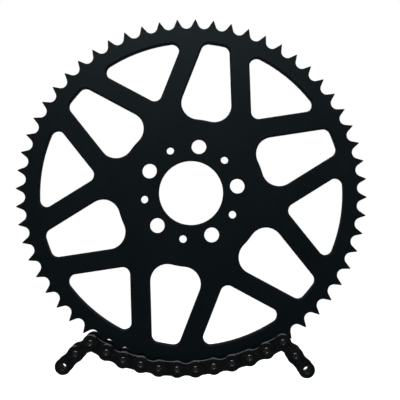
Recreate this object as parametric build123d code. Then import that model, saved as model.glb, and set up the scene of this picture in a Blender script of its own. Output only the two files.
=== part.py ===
# Rear sprocket with a length of roller chain on its lower teeth.
# Millimetres.  +Z is up, +Y runs along the bore axis towards the wheel hub,
# the outer face of the sprocket looks to -Y.  The origin is the centre of the bore
# in the middle of the plate's thickness.
from build123d import *
from build123d import SkipClean
import math
import os

# ---------------------------------------------------------------- dimensions
# chain
pitch = 12.7                # pin to pin
roller_d = 8.51
roller_bore_r = 3.26
roller_w = 7.65
bush_r = 3.20
bush_bore_r = 2.275
pin_r = 2.225
pin_head_r = 2.40
pin_head_h = 0.90
pin_dimple_r = 1.15
pin_dimple_h = 0.45
pin_crest_r = 1.60           # crest of the riveted crown
pin_crown_r = 0.90
plate_t = 1.5
plate_end_r = 5.8           # rounded ends of the plates
inner_waist = 5.0           # half height of an inner plate at its waist
outer_waist = 4.25          # half height of an outer plate at its waist
inner_gap = 7.85            # between the inner plates
side_play = 0.175           # between an inner plate and an outer plate
hole_ease = 0.01            # radial ease of the plate holes on bushes and pins
plate_edge = 0.35           # broken edge round each plate

# sprocket
teeth = 60
plate_thick = 5.2
pitch_r = pitch / (2 * math.sin(math.pi / teeth))
root_r = pitch_r - roller_d / 2 - 0.025
seat_r = 4.42               # roller seat
seat_half_angle = 62.0      # the seat's arc either side of its bottom
flank_angle = 28.0          # flank to the tooth's gap centre line
tip_r = 123.95
tooth_phase = 6.56          # direction of one tooth gap, degrees from +X towards +Z
bevel_start_r = 119.6       # side bevel of the teeth
bevel_depth = 0.9
bore_r = 22.75
bolt_pcd = 66.4
bolt_count = 5
bolt_hole_r = 5.25
bolt_phase = 7.24
small_hole_r = 2.65
small_phase = 43.24
window_count = 6
window_phase = 19.24
window_in_r = 52.35         # inner, arched edge of the large windows
window_out_r = 107.5        # outer, arched edge of all windows
window_side_angle = 11.6    # a large window's side to its centre line
window_side_x = 77.35       # a point on that side
window_side_y = 15.50
window_lobe_r = 12.3
window_corner_r = 5.2
tri_side_angle = 41.6       # a three-cornered window's side to its centre line
tri_side_x = 83.63
tri_side_y = 14.65
tri_corner_r = 5.2
window_chamfer = 0.8
hole_chamfer = 0.5
hub_seat_r = 44.0           # round the bore, the part of the face that lies against the wheel hub

# chain pose: the direction of each link from its left pin to its right pin,
# degrees from +X towards +Z.  The links between pins 10 and 13 lie on their seats.
link_angles = [44.0, 35.0, -30.8, -25.2, -15.2, -12.8, -4.2, 0.2, 7.2,
               9.56, 15.56, 21.56, 26.0, -48.5, -51.9]
seated_pin = 10             # number of the first seated pin
seated_gap = -83.44         # direction of its tooth gap


def pin_centres():
    a = math.radians(seated_gap)
    points = {seated_pin: (pitch_r * math.cos(a), pitch_r * math.sin(a))}
    for n in range(seated_pin, 16):
        a = math.radians(link_angles[n - 1])
        x, z = points[n]
        points[n + 1] = (x + pitch * math.cos(a), z + pitch * math.sin(a))
    for n in range(seated_pin, 1, -1):
        a = math.radians(link_angles[n - 2])
        x, z = points[n]
        points[n - 1] = (x - pitch * math.cos(a), z - pitch * math.sin(a))
    return points


pins = pin_centres()


def polar(r, deg):
    a = math.radians(deg)
    return (r * math.cos(a), r * math.sin(a))


def turned(point, deg):
    a = math.radians(deg)
    x, y = point
    return (x * math.cos(a) - y * math.sin(a), x * math.sin(a) + y * math.cos(a))


# ---------------------------------------------------------------- sprocket
def tooth_outline():
    """The toothed edge, one gap after the other."""
    s = math.radians(seat_half_angle)
    f = math.radians(flank_angle)
    seat_c = root_r + seat_r
    end = (seat_c - seat_r * math.cos(s), seat_r * math.sin(s))     # (out, across)
    # the flank meets the tip circle
    lo, hi = 0.0, 20.0
    for _ in range(60):
        mid = (lo + hi) / 2
        r = math.hypot(end[0] + mid * math.cos(f), end[1] + mid * math.sin(f))
        lo, hi = (mid, hi) if r < tip_r else (lo, mid)
    tip = (end[0] + lo * math.cos(f), end[1] + lo * math.sin(f))
    edges = []
    for k in range(teeth):
        a = tooth_phase + k * 360 / teeth
        p = [turned(q, a) for q in ((tip[0], -tip[1]), (end[0], -end[1]), (root_r, 0), end, tip)]
        after = turned((tip[0], -tip[1]), a + 360 / teeth)
        edges += [Line(p[0], p[1]), ThreePointArc(p[1], p[2], p[3]), Line(p[3], p[4]), Line(p[4], after)]
    return edges


def large_window(phase):
    """A wedge between two arcs, with two large lobes at its inner end."""
    al = math.radians(window_side_angle)
    n = (math.sin(al), math.cos(al))
    d = n[0] * window_side_x + n[1] * window_side_y

    def centre(radius, r):
        a = d - r
        b = math.sqrt(radius ** 2 - a ** 2)
        return (n[0] * a + n[1] * b, n[1] * a - n[0] * b)

    lobe = centre(window_in_r + window_lobe_r, window_lobe_r)
    corner = centre(window_out_r - window_corner_r, window_corner_r)
    a_corner = math.degrees(math.atan2(corner[1], corner[0]))
    a_lobe = math.degrees(math.atan2(lobe[1], lobe[0]))
    a_n = 90 - window_side_angle

    def on(c, r, deg):
        return (c[0] + r * math.cos(math.radians(deg)), c[1] + r * math.sin(math.radians(deg)))

    half = [
        (on(corner, window_corner_r, a_corner), on(corner, window_corner_r, (a_corner + a_n) / 2), on(corner, window_corner_r, a_n)),
        (on(lobe, window_lobe_r, a_n), on(lobe, window_lobe_r, (a_n + a_lobe + 180) / 2), on(lobe, window_lobe_r, a_lobe + 180)),
    ]
    flip = lambda p: (p[0], -p[1])
    t = lambda p: turned(p, phase)
    edges = [ThreePointArc(t(flip(half[0][0])), t((window_out_r, 0)), t(half[0][0])),
             ThreePointArc(*[t(p) for p in half[0]]),
             Line(t(half[0][2]), t(half[1][0])),
             ThreePointArc(*[t(p) for p in half[1]]),
             ThreePointArc(t(half[1][2]), t((window_in_r, 0)), t(flip(half[1][2]))),
             ThreePointArc(*[t(flip(p)) for p in reversed(half[1])]),
             Line(t(flip(half[1][0])), t(flip(half[0][2]))),
             ThreePointArc(*[t(flip(p)) for p in reversed(half[0])])]
    return edges


def tri_window(phase):
    """Three corners, two straight sides and an arched outer edge."""
    al = math.radians(tri_side_angle)
    n = (-math.sin(al), math.cos(al))
    d = n[0] * tri_side_x + n[1] * tri_side_y
    a = d - tri_corner_r
    b = math.sqrt((window_out_r - tri_corner_r) ** 2 - a ** 2)
    corner = (n[0] * a + n[1] * b, n[1] * a - n[0] * b)
    nose = (a / n[0], 0.0)
    a_corner = math.degrees(math.atan2(corner[1], corner[0]))
    a_n = 90 + tri_side_angle

    def on(c, deg):
        return (c[0] + tri_corner_r * math.cos(math.radians(deg)), c[1] + tri_corner_r * math.sin(math.radians(deg)))

    half = [on(corner, a_corner), on(corner, (a_corner + a_n) / 2), on(corner, a_n), on(nose, a_n)]
    flip = lambda p: (p[0], -p[1])
    t = lambda p: turned(p, phase)
    return [ThreePointArc(t(flip(half[0])), t((window_out_r, 0)), t(half[0])),
            ThreePointArc(t(half[0]), t(half[1]), t(half[2])),
            Line(t(half[2]), t(half[3])),
            ThreePointArc(t(half[3]), t(on(nose, 180)), t(flip(half[3]))),
            Line(t(flip(half[3])), t(flip(half[2]))),
            ThreePointArc(t(flip(half[2])), t(flip(half[1])), t(flip(half[0])))]


def prism(edges, depth):
    face = Plane.XZ * make_face(Wire(edges))
    return extrude(face, depth / 2, both=True)


def ring_cut(points):
    """A solid of revolution about the bore axis; points are (radius, y)."""
    face = Plane.XY * make_face(Wire.make_polygon([Vector(x, y, 0) for x, y in points], close=True))
    return revolve(face, Axis.Y, 360)


def spin(shape, deg):
    """Turn a shape about the bore axis, from +X towards +Z."""
    return shape.rotate(Axis.Y, -deg)


def y_cylinder(r, length, x=0.0, z=0.0, y=0.0):
    return Pos(x, y, z) * Rot(90, 0, 0) * Cylinder(r, length)


half_t = plate_thick / 2
body = prism(tooth_outline(), plate_thick)
for side in (1, -1):
    body -= ring_cut([(bevel_start_r, side * half_t), (126.5, side * half_t), (126.5, side * (half_t - bevel_depth * (126.5 - bevel_start_r) / (tip_r - bevel_start_r)))])
body -= y_cylinder(bore_r, 2 * plate_thick)
for k in range(bolt_count):
    x, z = polar(bolt_pcd / 2, bolt_phase + k * 72)
    body -= y_cylinder(bolt_hole_r, 2 * plate_thick, x, z)
    x, z = polar(bolt_pcd / 2, small_phase + k * 72)
    body -= y_cylinder(small_hole_r, 2 * plate_thick, x, z)
for k in range(window_count):
    body -= prism(large_window(window_phase + 60 * k), 2 * plate_thick)
    body -= prism(tri_window(window_phase + 30 + 60 * k), 2 * plate_thick)


def rim_edges(shape, low, high):
    """Edges lying in the two side faces with their middle between two radii."""
    found = []
    for e in shape.edges():
        c = e.position_at(0.5)
        ends = [e.position_at(0), e.position_at(1)]
        if all(abs(abs(p.Y) - half_t) < 1e-4 for p in ends + [c]):
            r = [math.hypot(p.X, p.Z) for p in ends + [c]]
            if low < min(r) and max(r) < high:
                found.append(e)
    return found


body = chamfer(rim_edges(body, window_in_r - 0.5, window_out_r + 0.5), window_chamfer)
body = chamfer(rim_edges(body, bore_r - 1, window_in_r - 1), hole_chamfer)

# the hub seat is marked off as a face of its own, level with the rest of the plate
seat_zone = y_cylinder(hub_seat_r, 2 * plate_thick)
with SkipClean():
    body = (body & seat_zone) + (body - seat_zone)


# ---------------------------------------------------------------- chain pieces
def plate_outline(waist):
    """Two round ends joined by hollow sides, centred between the pins, pins along X."""
    h = pitch / 2
    rho = (h * h + waist ** 2 - plate_end_r ** 2) / (2 * (plate_end_r - waist))
    c = (0.0, waist + rho)
    ux, uy = (c[0] - h) / math.hypot(c[0] - h, c[1]), c[1] / math.hypot(c[0] - h, c[1])
    t = (h + plate_end_r * ux, plate_end_r * uy)
    return [ThreePointArc((t[0], -t[1]), (h + plate_end_r, 0), t),
            ThreePointArc(t, (0, waist), (-t[0], t[1])),
            ThreePointArc((-t[0], t[1]), (-h - plate_end_r, 0), (-t[0], -t[1])),
            ThreePointArc((-t[0], -t[1]), (0, -waist), (t[0], -t[1]))]


def plate(waist, hole_r, y_mid):
    """A side plate along X with its two holes at half a pitch either side of the origin."""
    p = prism(plate_outline(waist), plate_t)
    for x in (-pitch / 2, pitch / 2):
        p -= y_cylinder(hole_r, 3 * plate_t, x)
    outer = [e for e in p.edges() if abs(abs(e.position_at(0.5).Y) - plate_t / 2) < 1e-4 and abs(abs(e.position_at(0).Y) - plate_t / 2) < 1e-4
             and e.geom_type == GeomType.CIRCLE and min(math.hypot(e.position_at(0.5).X - s, e.position_at(0.5).Z) for s in (-pitch / 2, pitch / 2)) > hole_r + 0.3]
    p = chamfer(outer, plate_edge)
    return Pos(0, y_mid, 0) * p


def bush(x):
    b = y_cylinder(bush_r, inner_gap + 2 * plate_t, x) - y_cylinder(bush_bore_r, 4 * inner_gap, x)
    return chamfer([e for e in b.edges() if e.geom_type == GeomType.CIRCLE and abs(e.radius - bush_bore_r) < 1e-3], 0.15)


def pin(x):
    """A riveted pin: a straight shank and, outside each outer plate, a domed head with a dimple."""
    shank = inner_gap / 2 + plate_t + side_play + plate_t
    top = shank + pin_head_h
    drop = lambda r: pin_crown_r - math.sqrt(pin_crown_r ** 2 - (r - pin_crest_r) ** 2)   # of the crown below its crest
    shoulder = pin_head_r - 0.15
    lip = drop(pin_dimple_r)
    sag = pin_dimple_h - lip
    bowl_r = (pin_dimple_r ** 2 + sag ** 2) / (2 * sag)
    half = pin_dimple_r / 2
    bowl = [(0, -top + pin_dimple_h), (half, -top + pin_dimple_h - bowl_r + math.sqrt(bowl_r ** 2 - half ** 2)), (pin_dimple_r, -top + lip)]
    crown = [bowl[2], (pin_crest_r, -top), (shoulder, -top + drop(shoulder))]
    rest = [crown[2], (pin_head_r, -top + 0.55), (pin_head_r, -shank - 0.01), (pin_r, -shank - 0.01), (pin_r, shank + 0.01),
            (pin_head_r, shank + 0.01), (pin_head_r, top - 0.55), (shoulder, top - drop(shoulder))]
    flip = lambda p: (p[0], -p[1])
    edges = [ThreePointArc(*bowl), ThreePointArc(*crown)]
    edges += [Line(a, b) for a, b in zip(rest, rest[1:])]
    edges += [ThreePointArc(*[flip(p) for p in reversed(crown)]), ThreePointArc(*[flip(p) for p in reversed(bowl)]),
              Line(flip(bowl[0]), bowl[0])]
    face = Plane.XY * make_face(Wire(edges))
    return Pos(x, 0, 0) * revolve(face, Axis.Y, 360)


def roller():
    r = y_cylinder(roller_d / 2, roller_w) - y_cylinder(roller_bore_r, 2 * roller_w)
    return chamfer([e for e in r.edges() if e.geom_type == GeomType.CIRCLE and abs(e.radius - roller_d / 2) < 1e-3], 0.3)


y_inner = inner_gap / 2 + plate_t / 2
y_outer = inner_gap / 2 + plate_t + side_play + plate_t / 2
inner_plates = [plate(inner_waist, bush_r + hole_ease, s * y_inner) for s in (-1, 1)]
outer_plates = [plate(outer_waist, pin_r + hole_ease, s * y_outer) for s in (-1, 1)]
bushes = [bush(s * pitch / 2) for s in (-1, 1)]
rivets = [pin(s * pitch / 2) for s in (-1, 1)]
one_roller = roller()


def placed(shapes, n):
    """Put shapes modelled between two pins onto link n."""
    (x0, z0), (x1, z1) = pins[n], pins[n + 1]
    a = math.degrees(math.atan2(z1 - z0, x1 - x0))
    move = Pos((x0 + x1) / 2, 0, (z0 + z1) / 2) * Rot(0, -a, 0)
    out = [move * s for s in shapes]
    return out[0] if len(out) == 1 else Compound(children=out)


os.makedirs("parts", exist_ok=True)
export_step(body, "parts/sprocket.step")
for n in range(1, 16):
    if n % 2:
        export_step(placed(inner_plates, n), f"parts/link_{n:02d}_inner_plates.step")
        export_step(placed(bushes, n), f"parts/link_{n:02d}_bushes.step")
    else:
        export_step(placed(outer_plates[:1], n), f"parts/link_{n:02d}_outer_plate_front.step")
        export_step(placed(outer_plates[1:], n), f"parts/link_{n:02d}_outer_plate_back.step")
        export_step(placed(rivets, n), f"parts/link_{n:02d}_pins.step")
for n in range(1, 17):
    x, z = pins[n]
    export_step(Pos(x, 0, z) * one_roller, f"parts/roller_{n:02d}.step")
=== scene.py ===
# Looks of the rear sprocket and its length of roller chain.
import math

import bpy
from mathutils import Matrix, Vector


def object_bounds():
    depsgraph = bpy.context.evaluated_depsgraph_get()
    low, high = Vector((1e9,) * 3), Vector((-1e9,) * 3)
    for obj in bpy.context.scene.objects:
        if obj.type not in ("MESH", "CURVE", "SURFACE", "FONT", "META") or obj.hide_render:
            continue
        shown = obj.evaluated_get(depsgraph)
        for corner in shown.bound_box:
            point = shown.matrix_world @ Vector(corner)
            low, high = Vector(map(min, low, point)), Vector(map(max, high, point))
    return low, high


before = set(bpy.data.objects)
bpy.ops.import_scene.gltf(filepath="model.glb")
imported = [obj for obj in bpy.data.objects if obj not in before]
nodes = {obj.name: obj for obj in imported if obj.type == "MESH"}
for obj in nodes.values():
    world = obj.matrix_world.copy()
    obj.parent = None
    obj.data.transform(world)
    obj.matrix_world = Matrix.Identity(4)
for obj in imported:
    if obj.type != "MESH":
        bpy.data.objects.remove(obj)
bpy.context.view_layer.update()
scene = bpy.context.scene


# ---------------------------------------------------------------- node helpers
class Graph:
    def __init__(self, name):
        self.mat = bpy.data.materials.new(name)
        self.mat.use_nodes = True
        self.tree = self.mat.node_tree
        self.tree.nodes.clear()
        self.out = self.add("ShaderNodeOutputMaterial")
        self.bsdf = self.add("ShaderNodeBsdfPrincipled")
        self.link(self.bsdf, "BSDF", self.out, "Surface")
        self.where = self.add("ShaderNodeTexCoord")

    def add(self, kind, **props):
        n = self.tree.nodes.new(kind)
        for k, v in props.items():
            setattr(n, k, v)
        return n

    def link(self, a, a_socket, b, b_socket):
        self.tree.links.new(a.outputs[a_socket], b.inputs[b_socket])

    def put(self, node, **values):
        for k, v in values.items():
            node.inputs[k.replace("_", " ")].default_value = v
        return node

    def coords(self, scale=(1, 1, 1)):
        m = self.add("ShaderNodeMapping")
        m.inputs["Scale"].default_value = scale
        self.link(self.where, "Object", m, "Vector")
        return m

    def noise(self, size, detail=3.0, rough=0.55, stretch=(1, 1, 1), distort=0.0):
        """Noise whose blobs are about size metres across."""
        n = self.add("ShaderNodeTexNoise")
        s = 1.0 / size
        self.link(self.coords([s * k for k in stretch]), "Vector", n, "Vector")
        n.inputs["Scale"].default_value = 1.0
        n.inputs["Detail"].default_value = detail
        n.inputs["Roughness"].default_value = rough
        n.inputs["Distortion"].default_value = distort
        return n

    def cells(self, size, feature="F1", stretch=(1, 1, 1)):
        n = self.add("ShaderNodeTexVoronoi", feature=feature)
        s = 1.0 / size
        self.link(self.coords([s * k for k in stretch]), "Vector", n, "Vector")
        n.inputs["Scale"].default_value = 1.0
        return n

    def ramp(self, source, socket, stops):
        r = self.add("ShaderNodeValToRGB")
        e = r.color_ramp.elements
        while len(e) < len(stops):
            e.new(0.5)
        for k, (pos, value) in enumerate(stops):
            e[k].position = pos
            e[k].color = (value, value, value, 1) if not hasattr(value, "__len__") else (*value, 1)
        self.link(source, socket, r, "Fac")
        return r

    def math(self, op, a, b=None, clamp=False):
        m = self.add("ShaderNodeMath", operation=op, use_clamp=clamp)
        for k, v in enumerate((a, b)):
            if v is None:
                continue
            if isinstance(v, tuple):
                self.tree.links.new(v[0].outputs[v[1]], m.inputs[k])
            else:
                m.inputs[k].default_value = v
        return m

    def span(self, source, socket, low, high, to_low, to_high):
        m = self.add("ShaderNodeMapRange", clamp=True)
        self.link(source, socket, m, "Value")
        for k, v in (("From Min", low), ("From Max", high), ("To Min", to_low), ("To Max", to_high)):
            m.inputs[k].default_value = v
        return m

    def mix(self, factor, a, b):
        m = self.add("ShaderNodeMix", data_type="RGBA")
        for k, v in ((0, factor), (6, a), (7, b)):
            if isinstance(v, tuple) and hasattr(v[0], "outputs"):
                self.tree.links.new(v[0].outputs[v[1]], m.inputs[k])
            elif k == 0:
                m.inputs[k].default_value = v
            else:
                m.inputs[k].default_value = (*v, 1)
        return m

    def edges(self, width, low, high):
        """Nearly 1 on a convex or broken edge, 0 on the flats."""
        b = self.add("ShaderNodeBevel", samples=6)
        b.inputs["Radius"].default_value = width
        g = self.add("ShaderNodeNewGeometry")
        d = self.add("ShaderNodeVectorMath", operation="DOT_PRODUCT")
        self.link(b, "Normal", d, 0)
        self.link(g, "Normal", d, 1)
        return self.span(d, "Value", high, low, 0.0, 1.0)

    def bumps(self, layers):
        """layers: (node, socket, height in metres)."""
        last = None
        for node, socket, height in layers:
            b = self.add("ShaderNodeBump")
            b.inputs["Strength"].default_value = 1.0
            b.inputs["Distance"].default_value = height
            self.link(node, socket, b, "Height")
            if last is not None:
                self.link(last, "Normal", b, "Normal")
            last = b
        self.link(last, "Normal", self.bsdf, "Normal")


# ---------------------------------------------------------------- materials
def anodised_plate():
    """Bead-blasted, black-anodised aluminium plate."""
    g = Graph("anodised_plate")
    cloud = g.noise(0.034, detail=4, rough=0.6)
    grain = g.noise(0.00055, detail=2, rough=0.5)
    fine = g.noise(0.00022, detail=1, rough=0.5)
    rolled = g.noise(0.0016, detail=3, rough=0.6, stretch=(1.0, 1.0, 0.09))
    edge = g.edges(0.00022, 0.86, 0.985)
    rub = g.noise(0.0028, detail=5, rough=0.7)
    rubbed = g.span(rub, "Fac", 0.50, 0.68, 0.0, 1.0)
    worn = g.math("MULTIPLY", (edge, "Result"), (rubbed, "Result"))
    worn2 = g.math("MULTIPLY", (worn, "Value"), 0.16)
    tone = g.mix((g.span(cloud, "Fac", 0.3, 0.7, 0.0, 1.0), "Result"), (0.00020, 0.0010, 0.0019), (0.00035, 0.0014, 0.0024))
    tone2 = g.mix((g.span(grain, "Fac", 0.35, 0.7, 0.0, 0.45), "Result"), (tone, 2), (0.0007, 0.0019, 0.0030))
    bare = g.mix((worn2, "Value"), (tone2, 2), (0.075, 0.080, 0.083))
    g.link(bare, 2, g.bsdf, "Base Color")
    rough = g.span(cloud, "Fac", 0.3, 0.7, 0.44, 0.52)
    rough2 = g.math("ADD", (rough, "Result"), (g.span(rolled, "Fac", 0.3, 0.7, -0.025, 0.025), "Result"))
    rough3 = g.math("SUBTRACT", (rough2, "Value"), (g.math("MULTIPLY", (edge, "Result"), 0.07), "Value"), clamp=True)
    # the cut walls of teeth and windows are smoother than the blasted faces
    facing = g.add("ShaderNodeSeparateXYZ")
    g.link(g.where, "Normal", facing, "Vector")
    wall = g.span(g.math("ABSOLUTE", (facing, "Y")), "Value", 0.15, 0.6, -0.20, 0.0)
    rough4 = g.math("ADD", (rough3, "Value"), (wall, "Result"), clamp=True)
    # and the sloping chamfers are the dullest
    slope = g.math("MULTIPLY", (g.span(g.math("ABSOLUTE", (facing, "Y")), "Value", 0.8, 0.9, 1.0, 0.0), "Result"), (g.span(g.math("ABSOLUTE", (facing, "Y")), "Value", 0.3, 0.5, 0.0, 0.42), "Result"))
    # the side bevel of the teeth is dull too
    turned = g.math("MULTIPLY", (g.span(g.math("ABSOLUTE", (facing, "Y")), "Value", 0.980, 0.992, 1.0, 0.0), "Result"), (g.span(g.math("ABSOLUTE", (facing, "Y")), "Value", 0.90, 0.95, 0.0, 0.34), "Result"))
    slope = g.math("ADD", (slope, "Value"), (turned, "Value"))
    rough5 = g.math("ADD", (rough4, "Value"), (slope, "Value"), clamp=True)
    g.link(rough5, "Value", g.bsdf, "Roughness")
    g.put(g.bsdf, Metallic=0.0)
    g.bsdf.inputs["IOR"].default_value = 1.5
    g.bsdf.inputs["Specular IOR Level"].default_value = 0.25
    g.bsdf.inputs["Specular Tint"].default_value = (0.70, 0.93, 1.0, 1)
    g.bumps([(rolled, "Fac", 0.0000010), (grain, "Fac", 0.000012), (fine, "Fac", 0.000005)])
    return g.mat


def black_steel(name, low, high, bare, rough, wear, sheen_size, spec=0.5, metal=0.75):
    """Black-finished chain steel with a trace of oil."""
    g = Graph(name)
    cloud = g.noise(sheen_size, detail=4, rough=0.6)
    grain = g.noise(0.00030, detail=2, rough=0.55)
    pits = g.cells(0.0009)
    pit = g.span(pits, "Distance", 0.0, 0.18, 1.0, 0.0)
    edge = g.edges(0.00025, 0.86, 0.985)
    rub = g.noise(0.0013, detail=5, rough=0.7)
    rubbed = g.span(rub, "Fac", 0.42, 0.62, 0.0, 1.0)
    worn = g.math("MULTIPLY", (g.math("MULTIPLY", (edge, "Result"), (rubbed, "Result")), "Value"), wear)
    tone = g.mix((g.span(cloud, "Fac", 0.32, 0.68, 0.0, 1.0), "Result"), low, high)
    tone2 = g.mix((g.math("MULTIPLY", (pit, "Result"), 0.35), "Value"), (tone, 2), tuple(v * 0.5 for v in low))
    last = g.mix((worn, "Value"), (tone2, 2), bare)
    g.link(last, 2, g.bsdf, "Base Color")
    r = g.span(cloud, "Fac", 0.3, 0.7, rough[0], rough[1])
    r2 = g.math("ADD", (r, "Result"), (g.span(grain, "Fac", 0.3, 0.7, -0.04, 0.04), "Result"))
    r3 = g.math("SUBTRACT", (r2, "Value"), (g.math("MULTIPLY", (worn, "Value"), 0.10), "Value"), clamp=True)
    g.link(r3, "Value", g.bsdf, "Roughness")
    g.bsdf.inputs["Metallic"].default_value = metal
    g.bsdf.inputs["Specular IOR Level"].default_value = spec
    g.bsdf.inputs["Coat Weight"].default_value = 0.12
    g.bsdf.inputs["Coat Roughness"].default_value = 0.22
    g.bumps([(cloud, "Fac", 0.00004), (grain, "Fac", 0.000008), (pit, "Result", -0.000006)])
    return g.mat


plate_mat = anodised_plate()
link_mat = black_steel("chain_plate", (0.021, 0.0235, 0.0245), (0.035, 0.0385, 0.0395), (0.26, 0.26, 0.25), (0.21, 0.30), 0.6, 0.006, metal=0.96)
pin_mat = black_steel("chain_pin", (0.075, 0.071, 0.065), (0.125, 0.119, 0.109), (0.40, 0.39, 0.37), (0.16, 0.24), 0.6, 0.0025, metal=0.97)
roller_mat = black_steel("chain_roller", (0.070, 0.071, 0.072), (0.12, 0.122, 0.124), (0.30, 0.30, 0.295), (0.16, 0.26), 0.5, 0.003, metal=0.96)
bush_mat = black_steel("chain_bush", (0.024, 0.025, 0.027), (0.042, 0.043, 0.045), (0.26, 0.255, 0.25), (0.34, 0.44), 0.5, 0.003, metal=0.96)

for name, obj in nodes.items():
    if name == "sprocket":
        mat = plate_mat
    elif name.startswith("roller"):
        mat = roller_mat
    elif name.endswith("pins"):
        mat = pin_mat
    elif name.endswith("bushes"):
        mat = bush_mat
    else:
        mat = link_mat
    obj.data.materials.clear()
    obj.data.materials.append(mat)

# ---------------------------------------------------------------- floor
lo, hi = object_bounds()
floor_z = lo.z - 0.075          # low enough for the chain at its joints' limits to stay in view


def simple(name, colour, rough):
    g = Graph(name)
    n = g.noise(0.35, detail=4)
    tone = g.mix((g.span(n, "Fac", 0.3, 0.7, 0.0, 1.0), "Result"), colour, tuple(v * 0.985 for v in colour))
    g.link(tone, 2, g.bsdf, "Base Color")
    g.bsdf.inputs["Roughness"].default_value = rough
    g.bsdf.inputs["Specular IOR Level"].default_value = 0.15
    # painted shade: glossy rays see the sheet as a dark grey diffuse instead of the pale floor, so the object's
    # reflection of the floor is painted dark
    painted_dark_reflection = g.add("ShaderNodeBsdfDiffuse")
    painted_dark_reflection.inputs["Color"].default_value = (0.035, 0.04, 0.045, 1)
    ray = g.add("ShaderNodeLightPath")
    pick = g.add("ShaderNodeMixShader")
    g.link(ray, "Is Glossy Ray", pick, 0)
    g.link(g.bsdf, "BSDF", pick, 1)
    g.link(painted_dark_reflection, "BSDF", pick, 2)
    # and the sheet runs out into plain white a little way from the object
    far = g.add("ShaderNodeVectorMath", operation="LENGTH")
    g.link(g.where, "Object", far, 0)
    fade = g.span(far, "Value", 0.30, 0.75, 0.0, 1.0)
    white = g.add("ShaderNodeEmission")
    white.inputs["Strength"].default_value = 1.02
    share = g.math("MULTIPLY", (fade, "Result"), (ray, "Is Camera Ray"))
    run_out = g.add("ShaderNodeMixShader")
    g.link(share, "Value", run_out, 0)
    g.link(pick, 0, run_out, 1)
    g.link(white, "Emission", run_out, 2)
    g.link(run_out, 0, g.out, "Surface")
    return g.mat


def sweep():
    """One pale flat sheet."""
    pts = [(-4.0, 0.0), (-2.0, 0.0), (-0.6, 0.0), (0.6, 0.0), (2.0, 0.0), (4.0, 0.0)]
    verts, faces = [], []
    for y, z in pts:
        verts += [(-4.0, y, floor_z + z), (4.0, y, floor_z + z)]
    for k in range(len(pts) - 1):
        faces.append((2 * k, 2 * k + 1, 2 * k + 3, 2 * k + 2))
    me = bpy.data.meshes.new("floor")
    me.from_pydata(verts, [], faces)
    o = bpy.data.objects.new("floor", me)
    bpy.context.collection.objects.link(o)
    me.materials.append(simple("floor_pale", (0.86, 0.86, 0.865), 0.75))
    return o


floor = sweep()

# ---------------------------------------------------------------- light
world = bpy.data.worlds.new("studio")
scene.world = world
world.use_nodes = True
wt = world.node_tree
wt.nodes.clear()


def backdrop(colour, strength):
    n = wt.nodes.new("ShaderNodeBackground")
    n.inputs["Color"].default_value = (*colour, 1)
    n.inputs["Strength"].default_value = strength
    return n


w_out = wt.nodes.new("ShaderNodeOutputWorld")
path = wt.nodes.new("ShaderNodeLightPath")
seen = backdrop((1.0, 1.0, 1.0), 1.0)            # the pale room as it looks
fill = backdrop((1.0, 1.0, 1.0), 0.92)           # the soft light it gives
shine = backdrop((0.84, 0.97, 1.0), 0.10)        # what gloss picks up from it
way = wt.nodes.new("ShaderNodeTexCoord")
split = wt.nodes.new("ShaderNodeSeparateXYZ")
wt.links.new(way.outputs["Generated"], split.inputs[0])
rise = wt.nodes.new("ShaderNodeMapRange")          # darker towards the front, pale wall behind
for k, v in (("From Min", -0.25), ("From Max", 0.55), ("To Min", 0.03), ("To Max", 0.06)):
    rise.inputs[k].default_value = v
wt.links.new(split.outputs["Y"], rise.inputs["Value"])
over = wt.nodes.new("ShaderNodeMapRange")          # and lighter overhead
for k, v in (("From Min", 0.82), ("From Max", 0.97), ("To Min", 0.0), ("To Max", 0.60)):
    over.inputs[k].default_value = v
wt.links.new(split.outputs["Z"], over.inputs["Value"])
both = wt.nodes.new("ShaderNodeMath")
both.operation = "MAXIMUM"
wt.links.new(rise.outputs[0], both.inputs[0])
wt.links.new(over.outputs[0], both.inputs[1])
wt.links.new(both.outputs[0], shine.inputs["Strength"])
one = wt.nodes.new("ShaderNodeMixShader")
two = wt.nodes.new("ShaderNodeMixShader")
wt.links.new(path.outputs["Is Glossy Ray"], one.inputs[0])
wt.links.new(fill.outputs[0], one.inputs[1])
wt.links.new(shine.outputs[0], one.inputs[2])
wt.links.new(path.outputs["Is Camera Ray"], two.inputs[0])
wt.links.new(one.outputs[0], two.inputs[1])
wt.links.new(seen.outputs[0], two.inputs[2])
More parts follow.
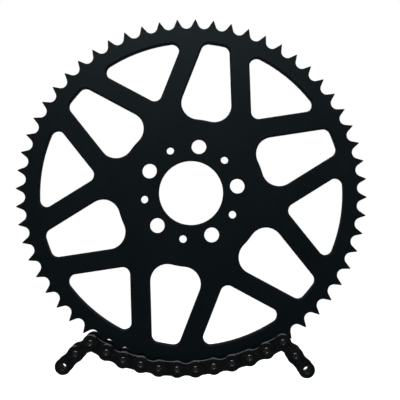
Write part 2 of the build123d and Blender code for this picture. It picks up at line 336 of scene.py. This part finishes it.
wt.links.new(two.outputs[0], w_out.inputs["Surface"])


def softbox(name, place, target, size, watts, colour=(1, 1, 1)):
    d = bpy.data.lights.new(name, "AREA")
    d.shape = "RECTANGLE"
    d.size, d.size_y = size
    d.energy = watts
    d.color = colour
    o = bpy.data.objects.new(name, d)
    bpy.context.collection.objects.link(o)
    o.location = place
    o.rotation_euler = (Vector(target) - Vector(place)).to_track_quat("-Z", "Y").to_euler()
    return o


softbox("top_box", (0.0, 0.05, 1.15), (0, 0.0, 0), (1.8, 1.3), 18, (1.0, 1.0, 0.99))
softbox("front_box", (-0.12, -0.95, 0.98), (0, 0, 0.05), (0.9, 0.45), 8.6, (0.98, 1.0, 1.0))
softbox("back_box", (0.12, 0.95, 0.98), (0, 0, 0.05), (0.9, 0.45), 7, (0.98, 1.0, 1.0))

# ---------------------------------------------------------------- camera
# pose of the plate in front of the lens: turned by rz, rx, ry, then shifted
cam_f, cam_d = 564.0, 0.400
cam_rx, cam_ry, cam_rz = math.radians(-2.124), -0.0038, 0.0174
cam_tx, cam_ty = -0.006397, 0.005043
turn = Matrix.Rotation(cam_rz, 3, "Z") @ Matrix.Rotation(cam_rx, 3, "X") @ Matrix.Rotation(cam_ry, 3, "Y")
inv = turn.transposed()
plane_to_frame = Matrix(((1, 0, 0), (0, 0, -1), (0, 1, 0)))     # (x, y, z) to (X, -Z, Y)
place = plane_to_frame @ (inv @ Vector((-cam_tx, -cam_ty, cam_d)))
axes = [plane_to_frame @ (inv @ Vector(v)) for v in ((1, 0, 0), (0, 1, 0), (0, 0, 1))]
cam_data = bpy.data.cameras.new("camera")
cam_data.sensor_width = 36.0
cam_data.lens = cam_f / 400.0 * 36.0
cam_data.clip_start = 0.01
cam_data.clip_end = 50
cam = bpy.data.objects.new("camera", cam_data)
bpy.context.collection.objects.link(cam)
cam.matrix_world = Matrix([[axes[c][r] for c in range(3)] + [place[r]] for r in range(3)] + [[0, 0, 0, 1]])
scene.camera = cam
scene.view_settings.view_transform = "Standard"
scene.view_settings.look = "None"
